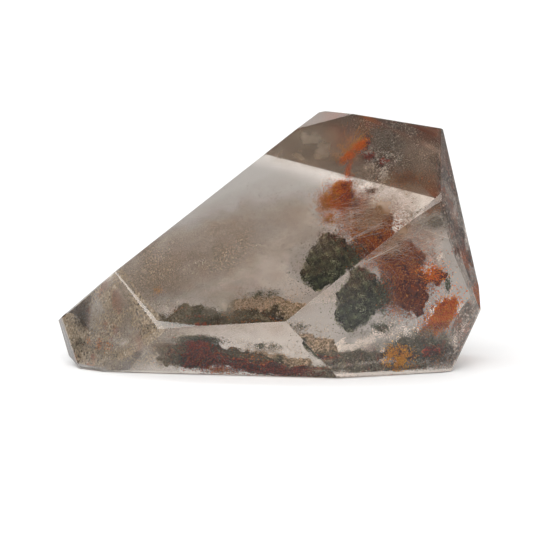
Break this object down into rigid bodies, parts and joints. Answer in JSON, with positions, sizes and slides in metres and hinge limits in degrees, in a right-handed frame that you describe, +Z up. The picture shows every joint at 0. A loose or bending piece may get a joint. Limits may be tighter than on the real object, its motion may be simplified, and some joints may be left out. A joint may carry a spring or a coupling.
{
  "type": "polished garden quartz freeform",
  "caption": "Hand-sized polished freeform of clear quartz with flat facets and a garden of green chlorite, rust-red and orange iron oxide inclusions; stands on its flat base.",
  "frame": {"origin": "middle of the stone's outline box, on the plane it rests on", "axes": "+Z up, +X along the stone's longest extent, -Y towards the viewer, who sees the large sloping face"},
  "size_m": [0.0822, 0.0436, 0.0485],
  "materials": {
    "clear_quartz": "polished, clear with a faint smoky tint",
    "green_chlorite": "fine mossy grains, matt",
    "rust_brown_oxide": "feathery flakes, matt",
    "orange_oxide": "powdery sprays, matt",
    "mixed_sediment": "loose grey-green and dark red grains, matt",
    "hazy_quartz": "quartz clouded by fine brown dust"
  },
  "bodies": {
    "root": {"quartz_front": "clear_quartz", "quartz_back": "clear_quartz", "chlorite_clump": "green_chlorite", "rust_cloud": "rust_brown_oxide", "orange_plume": "orange_oxide", "orange_flake": "orange_oxide", "garden_bed": "mixed_sediment", "brown_dust": "hazy_quartz", "left_dust": "hazy_quartz"}
  },
  "joints": []
}
